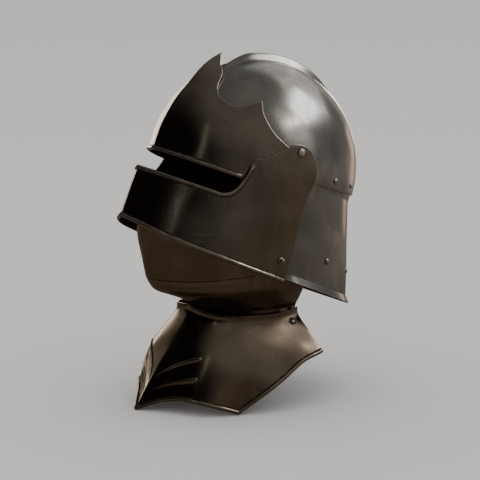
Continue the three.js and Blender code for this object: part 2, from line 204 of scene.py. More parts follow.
def visorFace(azimuth, height):
    waist = visor["waist"] * step(np.abs(azimuth), 85, visor["end"])
    waist = waist * np.exp(-(((height - visor["waistHeight"]) / 38) ** 2))
    angle = np.radians(azimuth) - np.sign(azimuth) * waist / visor["half"]
    depth = np.where(np.cos(angle) > 0, visor["front"], crown["rear"])
    reach = 1 / np.hypot(np.sin(angle) / visor["half"], np.cos(angle) / depth)
    climb = np.maximum(height - crown["level"], 0) / visor["curl"]
    x = reach * np.sin(angle) * np.sqrt(1 - climb * climb)
    keel = visor["keel"] * ridge(x, visor["keelWidth"])
    y = -reach * np.cos(angle) - keel * np.cos(angle)
    return vector(x, y + crown["back"], height)


tail = {
    "start": 82, "top": -17, "bottom": -154, "flange": 8, "flangeOut": 3, "flangeRear": 1.5,
    "sideFlare": 1.5, "rearFlare": 45,
}


def tailFace(azimuth, height):
    drop = np.maximum(crown["level"] - height, 0) / (crown["level"] - tail["bottom"])
    back = np.maximum(-np.cos(np.radians(azimuth)), 0)
    flare = drop * (tail["sideFlare"] + tail["rearFlare"] * back ** 2)
    above = np.clip((height - tail["bottom"]) / tail["flange"], 0, 1)
    free = step(180 - np.abs(azimuth - 180), 103, 114)      # no flange under the visor's end
    flange = free * (1 - above) * (tail["flangeOut"] + tail["flangeRear"] * back)
    outward = vector(np.sin(np.radians(azimuth)), -np.cos(np.radians(azimuth)), 0)
    return crownPoint(azimuth, height, -browOffset) + outward * (flare + flange)[..., None]


# faces of the bevor, round an upright line
bevorCentre = np.array([0, 0, -180])
gorget = {
    "collar": 8, "shoulder": 45, "tip": -327, "end": 108, "flareAtCollar": 0.12,
    "collarRound": 5,                       # the turn from collar to skirt is rounded over this height
    "ribs": [                               # (azimuth, height) along each raised rib, from the keel
        ((0.5, -298), (3.7, -284.5), (9.3, -273.5), (17.5, -264), (25.5, -257.5)),
        ((0.5, -308), (5.4, -298.5), (14.5, -289), (26, -282)),
    ],
    "ribWidth": 5.6, "ribProud": 2.4,
}
gorgetFoot = mirrored(fair((0, 98), (12, 99), (25, 99), (36, 93), (48, 82), (75, 70), (110, 70)))
gorgetShoulder = mirrored(fair((0, 131), (12, 132), (24, 133), (36, 127), (48, 116), (75, 103),
                               (110, 114)))
gorgetHemReach = mirrored(fair((0, 180), (12, 166), (24, 158), (36, 144), (48, 124), (75, 133), (110, 150)))
gorgetTop = mirrored(through((0, -201), (15, -204), (40, -209), (70, -211), (90, -210),
                             (110, -206)))


def gorgetReach(azimuth, height):
    below = gorgetTop(azimuth) - gorget["collar"] - height
    drop = gorgetTop(0) - gorget["collar"] - gorget["tip"]
    foot, shoulder, hem = gorgetFoot(azimuth), gorgetShoulder(azimuth), gorgetHemReach(azimuth)
    first, second = gorget["shoulder"], drop - gorget["shoulder"]
    upper, lower = (shoulder - foot) / first, (hem - shoulder) / second
    middle = (upper + lower) / 2            # slope where the two spans meet
    sunk = (below + np.hypot(below, gorget["collarRound"])) / 2
    p = np.clip(sunk / first, 0, 1)
    q = np.clip((sunk - first) / second, 0, 1)
    upperSpan = (foot * (1 + 2 * p) * (1 - p) ** 2 + upper * first * p * (1 - p) ** 2
                 + shoulder * p * p * (3 - 2 * p) - middle * first * p * p * (1 - p))
    lowerSpan = (shoulder * (1 + 2 * q) * (1 - q) ** 2 + middle * second * q * (1 - q) ** 2
                 + hem * q * q * (3 - 2 * q) - lower * second * q * q * (1 - q))
    return np.where(sunk > first, lowerSpan, upperSpan) + (sunk - below) * gorget["flareAtCollar"]


def gorgetFace(azimuth, height):
    reach = gorgetReach(azimuth, height)
    angle = np.radians(azimuth)
    return vector(reach * np.sin(angle), -reach * np.cos(angle), height)


chin = {"crease": -160, "neck": -203, "bottom": -230, "end": 112, "raise": 14,
        "keel": 8, "keelWidth": 9}
gorgetPivot = {"azimuth": 98, "height": -222, "ear": 8, "clearance": 1.3, "slant": 1.6}
chinFront = creased(
    through((-232, 92), (-215, 92), (-205, 93), (-199, 97), (-190, 114), (-177, 145.5), (-169, 153),
            (-160, 158)),
    through((-160, 158), (-137, 163), (-96, 170), (-40, 158)))
chinSide = creased(
    through((-232, 64.5), (-215, 64.5), (-205, 65), (-192, 73), (-177, 84), (-169, 87.5), (-160, 90)),
    through((-160, 90), (-137, 92), (-96, 95), (-40, 94)))


def chinFace(azimuth, height):
    angle = np.radians(azimuth)
    side = 1 - np.cos(np.minimum(np.abs(angle), math.pi / 2))
    half = chinSide(height)
    below = step(height, chin["neck"], chin["crease"])
    keel = chin["keel"] * below
    depth = np.where(np.cos(angle) > 0, chinFront(height) - keel, half)
    bowl = 1 / np.hypot(np.sin(angle) / half, np.cos(angle) / depth)
    bowl = bowl + keel * ridge(azimuth, chin["keelWidth"])
    # an ear at each side flares out to meet the gorget's rivet
    across = np.abs(np.radians(np.abs(azimuth) - gorgetPivot["azimuth"]) * bowl)
    ear = (1 - step(across, gorgetPivot["ear"], gorgetPivot["ear"] + 6)) * (1 - step(height, -214, -204))
    clear = (plates["thickness"] + gorgetPivot["clearance"]) * gorgetPivot["slant"]
    reach = bowl + ear * np.maximum(gorgetReach(azimuth, height) - clear - bowl, 0)
    return vector(reach * np.sin(angle), -reach * np.cos(angle), height + chin["raise"] * side * below)


# outlines: the height of each plate's edge at an azimuth
browTop = meeting(
    44.6,
    meeting(5.5, mirrored(through((0, 75), (5.5, 66.5))),
            mirrored(through((5.5, 66.5), (9.5, 63), (13, 55), (15.5, 44), (18, 36.5), (22, 30),
                             (26, 27), (31.6, 25.5), (36, 28.5), (40, 35.5), (44.6, 43)))),
    mirrored(through((44.6, 43), (48.3, 30.5), (52.5, 21.5), (61, 9), (70, 2), (80, -3), (97, -14))))
visorTop = meeting(
    38, level(visor["sight"]),
    mirrored(through((38, -80), (44, -79), (48.5, -71), (51.5, -55), (53.5, -35), (60, -23),
                     (68, -8), (74, 2), (79, 8), (86, 8), (92, 2), (97, -8), (100, -18),
                     (101.5, -32))))
chinTop = mirrored(through((0, -40), (24, -44), (40, -56), (60, -72), (112, -84)))
visorBottom = mirrored(through((0, -147), (10, -150), (25, -154), (45, -156.5), (70, -158),
                               (102, -159)))
gorgetHem = meeting(
    48, mirrored(through((0, -327), (10, -314), (22, -309), (35, -315), (48, -327))),
    mirrored(through((48, -327), (62, -306), (78, -284), (92, -268), (108, -259))))


def fromHelmet(points):
    c, s = math.cos(lean), math.sin(lean)
    x, y, z = points[..., 0], points[..., 1], points[..., 2]
    return vector(x, y * c + z * s, z * c - y * s) * mm + visorPivot


def fromBevor(points):
    return points * mm + visorPivot


def spaced(*stops):
    # stations through the stops; each later stop is (place, spacing up to it)
    runs = [np.array([float(stops[0])])]
    for place, spacing in stops[1:]:
        last = runs[-1][-1]
        runs.append(np.linspace(last, place, max(int(math.ceil((place - last) / spacing)), 1) + 1)[1:])
    return np.concatenate(runs)


def bothSides(stations):
    return np.concatenate([-stations[:0:-1], stations])


def rowsBetween(low, high, fineLow, fineHigh, fine, middle):
    # rows from low to high for each column, close together within fineLow and fineHigh of the edges
    lowRows = np.linspace(0, fineLow, max(int(fineLow / fine), 1) + 1)
    highRows = np.linspace(0, fineHigh, max(int(fineHigh / fine), 1) + 1)[::-1]
    share = np.linspace(0, 1, middle + 1)[1:-1]
    inner = (low + fineLow)[:, None] + (high - low - fineLow - fineHigh)[:, None] * share[None, :]
    return np.concatenate([low[:, None] + lowRows, inner, high[:, None] - highRows], 1)


def outwardNormals(face, u, v, centre):
    small = 0.01
    across = face(u + small, v) - face(u - small, v)
    along = face(u, v + small) - face(u, v - small)
    outward = face(u, v) - centre
    normal = np.cross(across, along)
    flat = np.linalg.norm(normal, axis=-1) < 1e-9
    normal = np.where(flat[..., None], outward, normal)
    return unit(normal * np.where(np.sum(normal * outward, -1, keepdims=True) < 0, -1, 1))


def distanceTo(points, curve):
    # shortest distance from each point to a polyline
    flatPoints = points.reshape(-1, 3)
    nearest = np.full(len(flatPoints), 1e9)
    for a, b in zip(curve[:-1], curve[1:]):
        span = b - a
        along = np.clip((flatPoints - a) @ span / max(span @ span, 1e-12), 0, 1)
        gap = flatPoints - a - along[:, None] * span
        nearest = np.minimum(nearest, np.einsum("ij,ij->i", gap, gap))
    return np.sqrt(nearest).reshape(points.shape[:-1])


def roll(distance, shown):
    # half-round section of a rolled edge
    half = rolledEdge["width"] / 2
    inside = np.clip(1 - ((distance - half) / half) ** 2, 0, 1)
    return rolledEdge["proud"] * shown * np.sqrt(inside)


dentWaves = [                               # (direction, wave length in mm, phase, share)
    ((0.8, 0.2, 0.5), 74, 0.3, 1.0), ((-0.3, 0.9, 0.4), 61, 2.1, 0.8), ((0.1, -0.5, 0.9), 52, 4.0, 0.8),
    ((0.7, 0.7, -0.2), 43, 1.2, 0.5), ((-0.6, 0.3, 0.8), 37, 5.2, 0.4), ((0.4, -0.8, -0.5), 31, 3.3, 0.3),
]


def dents(points):
    # the slight unevenness that hammering leaves
    total = np.zeros(points.shape[:-1])
    for direction, length, phase, share in dentWaves:
        along = points @ (np.array(direction) / np.linalg.norm(direction))
        total += share * np.sin(along * 2 * math.pi / length + phase)
    return plates["dents"] * total


def newMesh(name, points, faces):
    mesh = bpy.data.meshes.new(name)
    mesh.from_pydata(points, [], faces)
    return mesh


def addObject(name, data):
    made = bpy.data.objects.new(name, data)
    bpy.context.scene.collection.objects.link(made)
    return made


def declare(piece, nodeName, body):
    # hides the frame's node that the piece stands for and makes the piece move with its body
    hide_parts(nodeName)
    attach(piece, body)


def makePlate(name, grid, place, relief, marks, finish):
    # a closed plate: outer face, inner face and a rounded rim; marks are values per outer point
    face, u, v, centre = grid
    outerFlat = face(u, v)
    normal = outwardNormals(face, u, v, centre)
    outer = outerFlat + normal * (relief + dents(outerFlat))[..., None]
    inner = outerFlat - normal * plates["thickness"] + normal * dents(outerFlat)[..., None]
    columns, rows = u.shape
    index = np.arange(columns * rows).reshape(columns, rows)
    ring = np.concatenate([index[:, 0], index[-1, 1:], index[-2::-1, -1], index[0, -2:0:-1]])
    flatOuter, flatInner, flatNormal = (a.reshape(-1, 3) for a in (outer, inner, normal))
    edge = np.roll(outerFlat.reshape(-1, 3)[ring], -1, 0) - np.roll(outerFlat.reshape(-1, 3)[ring], 1, 0)
    away = unit(np.cross(edge, flatNormal[ring]))
    rims = []
    for rimTurn in np.radians((45, 90, 135)):
        share = (1 - math.cos(rimTurn)) / 2
        bulge = plates["rimBulge"] * plates["thickness"] * math.sin(rimTurn)
        rims.append(flatOuter[ring] * (1 - share) + flatInner[ring] * share + away * bulge)
    points = place(np.concatenate([flatOuter, flatInner, *rims]))

    a, b, c, d = index[:-1, :-1], index[1:, :-1], index[1:, 1:], index[:-1, 1:]
    outerQuads = np.stack([a, b, c, d], -1).reshape(-1, 4)
    innerQuads = np.stack([d, c, b, a], -1).reshape(-1, 4) + columns * rows
    count = len(ring)
    start = 2 * columns * rows
    loops = [ring, *(start + k * count + np.arange(count) for k in range(len(rims))),
             ring + columns * rows]
    rimQuads = [np.stack([np.roll(one, -1), one, two, np.roll(two, -1)], -1)
                for one, two in zip(loops[:-1], loops[1:])]
    quads = np.concatenate([outerQuads, *rimQuads, innerQuads])

    mesh = newMesh(name, points.tolist(), quads.tolist())
    slots = np.zeros(len(quads), np.int32)
    slots[-len(innerQuads):] = 1
    mesh.polygons.foreach_set("material_index", slots)
    mesh.polygons.foreach_set("use_smooth", np.ones(len(quads), bool))
    for label, values in marks.items():
        layer = mesh.attributes.new(label, "FLOAT", "POINT")
        rimValue = 1.0 if label == "wearAndSheen" else 0.0
        filled = np.concatenate([values.ravel(), np.full(values.size + count * len(rims), rimValue)])
        if label == "wearAndSheen":
            filled[values.size:2 * values.size] = 0
        layer.data.foreach_set("value", filled.astype(np.float32))
    mesh.materials.append(finish)
    mesh.materials.append(finishes["inside"])
    return addObject(name, mesh)


def near(distance, width):
    return np.exp(-(distance / width) ** 2)


def addNode(tree, kind, **settings):
    made = tree.nodes.new("ShaderNode" + kind)
    for key, value in settings.items():
        setattr(made, key, value)
    return made


def feed(tree, socket, value):
    if isinstance(value, bpy.types.NodeSocket):
        tree.links.new(value, socket)
    else:
        socket.default_value = value


def calculate(tree, operation, first, second, third=None):
    made = addNode(tree, "Math", operation=operation)
    for socket, value in zip(made.inputs, (first, second, third)):
        if value is not None:
            feed(tree, socket, value)
    return made.outputs[0]


def mixFloat(tree, factor, first, second):
    made = addNode(tree, "Mix", data_type="FLOAT")
    feed(tree, made.inputs[0], factor)
    feed(tree, made.inputs[2], first)
    feed(tree, made.inputs[3], second)
    return made.outputs[0]


def mixColour(tree, factor, first, second):
    made = addNode(tree, "Mix", data_type="RGBA")
    feed(tree, made.inputs[0], factor)
    feed(tree, made.inputs[6], (*first, 1) if isinstance(first, tuple) else first)
    feed(tree, made.inputs[7], (*second, 1) if isinstance(second, tuple) else second)
    return made.outputs[2]


def remap(tree, value, low, high, outLow=0.0, outHigh=1.0):
    made = addNode(tree, "MapRange", interpolation_type="SMOOTHSTEP")
    for socket, setting in zip(made.inputs, (value, low, high, outLow, outHigh)):
        feed(tree, socket, setting)
    return made.outputs[0]


def placedNoise(tree, scale, stretch=(1, 1, 1), turn=(0, 0, 0), offset=0.0, detail=3.0, distortion=0.0):
    # noise on the piece's own coordinates, in features per metre
    coordinates = addNode(tree, "TexCoord")
    mapping = addNode(tree, "Mapping")
    mapping.inputs["Rotation"].default_value = turn
    mapping.inputs["Scale"].default_value = stretch
    mapping.inputs["Location"].default_value = (offset, offset * 0.7, -offset)
    tree.links.new(coordinates.outputs["Object"], mapping.inputs["Vector"])
    noise = addNode(tree, "TexNoise")
    tree.links.new(mapping.outputs[0], noise.inputs["Vector"])
    feed(tree, noise.inputs["Scale"], scale)
    noise.inputs["Detail"].default_value = detail
    noise.inputs["Distortion"].default_value = distortion
    return noise.outputs[0]


def newGroup(name, inputs, outputs):
    tree = bpy.data.node_groups.new(name, "ShaderNodeTree")
    for label, value in inputs.items():
        socket = tree.interface.new_socket(name=label, in_out="INPUT", socket_type="NodeSocketFloat")
        socket.default_value = value
    for label in outputs:
        tree.interface.new_socket(name=label, in_out="OUTPUT", socket_type="NodeSocketFloat")
    return tree, tree.nodes.new("NodeGroupInput").outputs, tree.nodes.new("NodeGroupOutput").inputs


def cloudsGroup():
    # cloudy polish: broad soft patches and narrower smears left by wiping
    tree, given, result = newGroup("polishClouds", {"Scale": 20.0, "Smear": 0.5}, ["Cloud", "Smear"])
    broad = placedNoise(tree, given["Scale"], offset=3.1, distortion=0.5)
    feed(tree, result["Cloud"], remap(tree, broad, 0.36, 0.64))
    wiped = calculate(tree, "MULTIPLY", given["Scale"], 1.8)
    smear = placedNoise(tree, wiped, (1, 1, 0.28), (0.5, 0.3, 0.2), 7.7, 2.0, 0.8)
    feed(tree, result["Smear"], calculate(tree, "MULTIPLY", remap(tree, smear, 0.5, 0.72), given["Smear"]))
    return tree


def pittingGroup():
    # small dark pits in loose clusters
    tree, given, result = newGroup("pitting", {"Scale": 420.0, "Cover": 0.5}, ["Pits"])
    coordinates = addNode(tree, "TexCoord")
    cells = addNode(tree, "TexVoronoi")
    tree.links.new(coordinates.outputs["Object"], cells.inputs["Vector"])
    feed(tree, cells.inputs["Scale"], given["Scale"])
    spots = remap(tree, cells.outputs["Distance"], 0.34, 0.12)
    cluster = remap(tree, placedNoise(tree, 38.0, offset=11.0, detail=4.0), 0.56, 0.7)
    feed(tree, result["Pits"], calculate(tree, "MULTIPLY",
                                         calculate(tree, "MULTIPLY", spots, cluster), given["Cover"]))
    return tree


def polishLinesGroup():
    # fine lines that abrasive leaves, in two crossing directions, and a few longer scratches
    tree, given, result = newGroup("polishLines", {"Scale": 60.0, "Scratches": 0.5}, ["Lines", "Scratches"])
    one = placedNoise(tree, given["Scale"], (1, 1, 26), (0.35, 0.1, 0.2), 1.0, 2.0)
    two = placedNoise(tree, given["Scale"], (1, 1, 18), (-0.5, 0.9, 0.4), 5.0, 2.0)
    feed(tree, result["Lines"], calculate(tree, "ADD", one, two))
    cut = placedNoise(tree, given["Scale"], (0.35, 0.35, 16), (0.9, -0.4, 0.3), 9.0, 1.0, 0.3)
    where = remap(tree, placedNoise(tree, 30.0, offset=21.0), 0.52, 0.66)
    scratch = calculate(tree, "MULTIPLY", remap(tree, cut, 0.71, 0.76), where)
    feed(tree, result["Scratches"], calculate(tree, "MULTIPLY", scratch, given["Scratches"]))
    return tree


def edgeWearGroup():
    # bright worn metal where the plate stands proud, and a painted reflection band under the chin's crease;
    # the mark comes from the shape
    tree, given, result = newGroup("edgeWear", {"Amount": 0.8}, ["Wear"])
    mark = addNode(tree, "Attribute", attribute_name="wearAndSheen").outputs["Fac"]
    broken = remap(tree, placedNoise(tree, 90.0, offset=2.0, detail=4.0), 0.3, 0.6, 0.35, 1.0)
    worn = calculate(tree, "MULTIPLY", remap(tree, mark, 0.25, 0.85), broken)
    feed(tree, result["Wear"], calculate(tree, "MULTIPLY", worn, given["Amount"]))
    return tree


def grimeAndShadeGroup():
    # darkening from the shape's marks: painted shadow under laps and along the comb's foot, painted shade
    # in creases and where plates meet, darker rings round rivets and darker lines beside rolled edges
    tree, given, result = newGroup("grimeAndShade", {"Amount": 0.8}, ["Grime"])
    mark = addNode(tree, "Attribute", attribute_name="grimeAndShade").outputs["Fac"]
    broken = remap(tree, placedNoise(tree, 120.0, offset=4.0, detail=5.0), 0.25, 0.62, 0.25, 1.0)
    dirty = calculate(tree, "MULTIPLY", remap(tree, mark, 0.1, 0.75), broken)
    feed(tree, result["Grime"], calculate(tree, "MULTIPLY", dirty, given["Amount"]))
    return tree


groups = {
    "clouds": cloudsGroup(), "pits": pittingGroup(), "lines": polishLinesGroup(),
    "wearAndSheen": edgeWearGroup(), "grimeAndShade": grimeAndShadeGroup(),
}


def useGroup(tree, name, **values):
    made = tree.nodes.new("ShaderNodeGroup")
    made.node_tree = groups[name]
    for label, value in values.items():
        made.inputs[label].default_value = value
    return made.outputs


finishLooks = {
    "polished": {
        "colour": (0.56, 0.545, 0.51), "cloud": (0.40, 0.395, 0.375), "smear": (0.30, 0.315, 0.32),
        "edge": (0.80, 0.77, 0.72), "dirtAndShade": (0.07, 0.06, 0.05), "rough": 0.19, "cloudRough": 0.06,
        "cloudScale": 17.0, "smearAmount": 0.55, "pits": 0.75, "lines": 0.010, "wearAndSheen": 0.8, "grimeAndShade": 0.8,
    },
    "warm": {
        "colour": (0.47, 0.41, 0.335), "cloud": (0.38, 0.325, 0.26), "smear": (0.27, 0.235, 0.20),
        "edge": (0.78, 0.73, 0.65), "dirtAndShade": (0.05, 0.04, 0.03), "rough": 0.17, "cloudRough": 0.06,
        "cloudScale": 19.0, "smearAmount": 0.45, "pits": 0.45, "lines": 0.010, "wearAndSheen": 0.75, "grimeAndShade": 0.85,
    },
    "dark": {
        "colour": (0.46, 0.38, 0.29), "cloud": (0.34, 0.27, 0.20), "smear": (0.22, 0.17, 0.13),
        "edge": (0.76, 0.66, 0.54), "dirtAndShade": (0.04, 0.03, 0.02), "rough": 0.18, "cloudRough": 0.06,
        "cloudScale": 15.0, "smearAmount": 0.5, "pits": 0.5, "lines": 0.012, "wearAndSheen": 0.75, "grimeAndShade": 0.9,
    },
    "rivet": {
        "colour": (0.76, 0.72, 0.65), "cloud": (0.60, 0.56, 0.50), "smear": (0.34, 0.32, 0.29),
        "edge": (0.84, 0.81, 0.76), "dirtAndShade": (0.05, 0.04, 0.03), "rough": 0.30, "cloudRough": 0.10,
        "cloudScale": 120.0, "smearAmount": 0.4, "pits": 0.8, "lines": 0.006, "wearAndSheen": 0.6, "grimeAndShade": 0.9,
    },
    "screw": {
        "colour": (0.88, 0.84, 0.77), "cloud": (0.80, 0.76, 0.69), "smear": (0.55, 0.52, 0.47),
        "edge": (0.92, 0.89, 0.83), "dirtAndShade": (0.05, 0.04, 0.03), "rough": 0.50, "cloudRough": 0.08,
        "cloudScale": 120.0, "smearAmount": 0.3, "pits": 0.4, "lines": 0.006, "wearAndSheen": 0.6, "grimeAndShade": 0.9,
    },
}


def newFinish(name):
    material = bpy.data.materials.new(name)
    material.use_nodes = True
    return material, material.node_tree, material.node_tree.nodes["Principled BSDF"]


def addBump(tree, shader, height):
    bump = addNode(tree, "Bump")
    bump.inputs["Distance"].default_value = mm
    feed(tree, bump.inputs["Height"], height)
    feed(tree, shader.inputs["Normal"], bump.outputs[0])


def steelFinish(name, look):
    material, tree, shader = newFinish(name)
    shader.inputs["Metallic"].default_value = 1.0
    shader.inputs["Specular IOR Level"].default_value = 0.5
    clouds = useGroup(tree, "clouds", Scale=look["cloudScale"], Smear=look["smearAmount"])
    pits = useGroup(tree, "pits", Cover=look["pits"])
    lines = useGroup(tree, "lines", Scratches=0.7)
    wearAndSheen = useGroup(tree, "wearAndSheen", Amount=look["wearAndSheen"])
    grimeAndShade = useGroup(tree, "grimeAndShade", Amount=look["grimeAndShade"])

    colour = mixColour(tree, clouds["Cloud"], look["colour"], look["cloud"])
    colour = mixColour(tree, clouds["Smear"], colour, look["smear"])
    colour = mixColour(tree, lines["Scratches"], colour, look["edge"])
    colour = mixColour(tree, pits["Pits"], colour, look["dirtAndShade"])
    # the wear-and-sheen mark lightens worn metal and paints a reflection band under the chin's crease; the
    # grime-and-shade mark darkens round rivets and beside rolled edges and paints shadow and shade at laps,
    # the comb's foot, creases and where plates meet
    colour = mixColour(tree, wearAndSheen["Wear"], colour, look["edge"])
    colour = mixColour(tree, grimeAndShade["Grime"], colour, look["dirtAndShade"])
    feed(tree, shader.inputs["Base Color"], colour)

    rough = mixFloat(tree, clouds["Cloud"], look["rough"], look["rough"] + look["cloudRough"])
    rough = mixFloat(tree, clouds["Smear"], rough, look["rough"] + 2 * look["cloudRough"])
    rough = mixFloat(tree, pits["Pits"], rough, 0.7)
    rough = mixFloat(tree, wearAndSheen["Wear"], rough, 0.2)
    rough = mixFloat(tree, grimeAndShade["Grime"], rough, 0.75)
    feed(tree, shader.inputs["Roughness"], rough)

    height = calculate(tree, "MULTIPLY", lines["Lines"], look["lines"])
    height = calculate(tree, "MULTIPLY_ADD", pits["Pits"], -0.12, height)
    height = calculate(tree, "MULTIPLY_ADD", lines["Scratches"], -0.03, height)
    addBump(tree, shader, height)
    return material


insideLook = {
    "colour": (0.10, 0.085, 0.07), "rust": (0.13, 0.07, 0.04), "pits": (0.02, 0.015, 0.01),
    "metal": 0.85, "rough": 0.62, "hammer": 0.35, "blowScale": 75.0,
}


def insideFinish():
    # the inner faces: left dark and rough from the hammer
    material, tree, shader = newFinish("hammeredInside")
    shader.inputs["Metallic"].default_value = insideLook["metal"]
    stains = useGroup(tree, "clouds", Scale=26.0, Smear=0.6)
    pits = useGroup(tree, "pits", Scale=300.0, Cover=0.9)
    colour = mixColour(tree, stains["Cloud"], insideLook["colour"], insideLook["rust"])
    colour = mixColour(tree, pits["Pits"], colour, insideLook["pits"])
    feed(tree, shader.inputs["Base Color"], colour)
    feed(tree, shader.inputs["Roughness"],
         mixFloat(tree, stains["Smear"], insideLook["rough"], insideLook["rough"] - 0.15))
    coordinates = addNode(tree, "TexCoord")
    blows = addNode(tree, "TexVoronoi", feature="SMOOTH_F1")
    blows.inputs["Scale"].default_value = insideLook["blowScale"]
    tree.links.new(coordinates.outputs["Object"], blows.inputs["Vector"])
    addBump(tree, shader, calculate(tree, "MULTIPLY", blows.outputs["Distance"], insideLook["hammer"]))
    return material


finishes = {name: steelFinish(name + "Steel", look) for name, look in finishLooks.items()}
finishes["inside"] = insideFinish()
print("finishes made:", ", ".join(finishes))


def seatOn(face, azimuth, height, centre, place):
    # a point of a face and the way it looks, in the frame
    u, v = np.array([float(azimuth)]), np.array([float(height)])
    point = face(u, v)[0]
    normal = outwardNormals(face, u, v, centre)[0]
    spot = place(point)
    return spot, unit(place(point + normal) - spot)


skullRivets = [(13, -10), (36, -12), (58, -16)]            # degrees from the back, height
tailRivets = [(24, -116), (48.5, -114.5)]
studPlace = (94, -134)
sides = (("left", 1), ("right", -1))


def rivetRow(face, row):
    return {f"{label}_{i + 1}": seatOn(face, 180 - side * fromBack, height, helmetCentre, fromHelmet)
            for label, side in sides for i, (fromBack, height) in enumerate(row)}


seats = {
    "skull_rivet": rivetRow(crownPoint, skullRivets),
    "tail_rivet": rivetRow(tailFace, tailRivets),
    "gorget_rivet": {label: seatOn(gorgetFace, side * gorgetPivot["azimuth"], gorgetPivot["height"],
                                   bevorCentre, fromBevor) for label, side in sides},
}
pivotAzimuth = math.degrees(math.atan2(visor["half"], crown["back"]))
armAtPivot = float(visorFace(np.array([pivotAzimuth]), np.array([0.0]))[0, 0])
seats["pivot_screw"] = {
    label: (fromHelmet(np.array([side * armAtPivot, 0.0, 0.0])), np.array([float(side), 0.0, 0.0]))
    for label, side in sides}
seats["visor_stud"] = {"": seatOn(visorFace, *studPlace, helmetCentre, fromHelmet)}


def ringsRound(points, rowsOfSeats, radius, width):
    # marks a darker ring round each seat
    total = np.zeros(points.shape[:-1])
    for spot, _ in rowsOfSeats:
        distance = np.linalg.norm(points - spot, axis=-1) / mm
        total = np.maximum(total, near(np.maximum(distance - radius, 0), width))
    return total


edgeWearWidth = 0.9


def rollFoot(distance):
    # a darker line beside a rolled edge
    return near(distance - rolledEdge["width"] - rolledEdge["footGap"], rolledEdge["footWidth"])


def rollWear(relief):
    return rolledEdge["wearAndSheen"] * relief / rolledEdge["proud"]


def makeSkull():
    # comb's sides need close columns; the rest is even
    x = spaced(0, (2.4, 0.8), (10, 0.42), (30, 1.4))
    across = bothSides(np.concatenate([np.degrees(np.arcsin(x / crown["half"])), np.linspace(18, 90, 56)]))
    along = np.linspace(-6, crown["hemAlong"], 190)
    u, v = np.meshgrid(across, along, indexing="ij")
    face = skullFace(u, v)
    rise = step(v, comb["start"], comb["full"]) * (1 - step(v, comb["fade"], comb["end"]))
    offset = np.abs(face[..., 0])
    crest = rise * near(offset - comb["top"], 1.6) * 0.6
    foot = rise * near(offset - comb["foot"] - 0.4, 1.3)
    browEdge = browFace(*edgeStations(browTop, 0, brow["end"], 1.0))
    underLap = near(distanceTo(face, mirroredCurve(browEdge)[::2]), 2.6)
    place = fromHelmet(face)
    # painted shadow under the brow's upper edge and along the comb's foot, and a darker ring round each
    # rivet
    dirtAndShade = np.maximum(crown["lapShadow"] * underLap, crown["combFootShadow"] * foot)
    dirtAndShade = np.maximum(dirtAndShade, ringsRound(place, seats["skull_rivet"].values(), crown["rivetRing"], 1.2))
    lower = near(np.radians(along[-1] - v) * crown["rear"], edgeWearWidth)
    marks = {"wearAndSheen": np.maximum(crest, lower), "grimeAndShade": dirtAndShade}
    centre = np.array([0, crown["back"], crown["level"]])
    return makePlate("skullPlate", (skullFace, u, v, centre), fromHelmet, np.zeros_like(u), marks,
                     finishes["polished"])


def edgeStations(outline, start, end, spacing):
    u = np.arange(start, end + spacing / 2, spacing)
    return u, outline(u)


def mirroredCurve(points):
    other = points[:0:-1] * np.array([-1, 1, 1])
    return np.concatenate([other, points])


def plateGrid(columns, low, high, fineLow, fineHigh, fine, middle):
    v = rowsBetween(low(columns), high(columns), fineLow, fineHigh, fine, middle)
    return np.repeat(columns[:, None], v.shape[1], 1), v


def makeBrow():
    columns = bothSides(spaced(0, (5.5, 0.45), (20, 0.3), (44.6, 0.6), (50, 0.4), (brow["end"], 0.9)))
    u, v = plateGrid(columns, level(brow["bottom"]), browTop, 7, 4, 0.35, 64)
    face = browFace(u, v)
    shown = 1 - step(np.abs(u), brow["rollEnd"] - 5, brow["rollEnd"])
    lower = v - brow["bottom"]
    relief = roll(lower, shown)
    upper = distanceTo(face, mirroredCurve(browFace(*edgeStations(browTop, 0, brow["end"], 0.5))))
    crest = np.maximum(rollWear(relief), 0.75 * near(face[..., 0], 1.3))
    dirtAndShade = 0.9 * shown * rollFoot(lower)
    marks = {"wearAndSheen": np.maximum(crest, near(upper, edgeWearWidth)), "grimeAndShade": dirtAndShade}
    return makePlate("browPlate", (browFace, u, v, helmetCentre), fromHelmet, relief, marks,
                     finishes["warm"])


def makeVisor():
    columns = bothSides(spaced(0, (4, 0.35), (38, 0.8), (46, 0.4), (56, 0.16), (66, 0.5),
                               (92, 0.8), (visor["end"], 0.35)))
    u, v = plateGrid(columns, visorBottom, visorTop, 7, 7, 0.35, 60)
    face = visorFace(u, v)
    upperEdge = mirroredCurve(visorFace(*edgeStations(visorTop, 0, visor["end"], 0.4)))
    lowerEdge = mirroredCurve(visorFace(*edgeStations(visorBottom, 0, visor["end"], 1.5)))
    upper, lower = distanceTo(face, upperEdge), distanceTo(face, lowerEdge)
    sightRoll = 1 - step(v, -42, -33)         # the roll stops where the arm begins
    sightRoll = sightRoll * (1 - step(np.abs(u), visor["rollEnd"] + 4, visor["rollEnd"] + 8))
    relief = np.maximum(roll(upper, sightRoll), roll(lower, 1.0))
    crest = np.maximum(rollWear(relief), 0.7 * near(face[..., 0], 1.2))
    foot = np.maximum(sightRoll * rollFoot(upper), rollFoot(lower))
    place = fromHelmet(face)
    dirtAndShade = np.maximum(0.9 * foot, ringsRound(place, seats["visor_stud"].values(), 3.8, 1.6))
    dirtAndShade = np.maximum(dirtAndShade, 0.8 * ringsRound(place, seats["pivot_screw"].values(), 5.2, 1.2))
    marks = {"wearAndSheen": np.maximum(crest, near(upper, edgeWearWidth)), "grimeAndShade": dirtAndShade}
    return makePlate("visorPlate", (visorFace, u, v, helmetCentre), fromHelmet, relief, marks,
                     finishes["warm"])


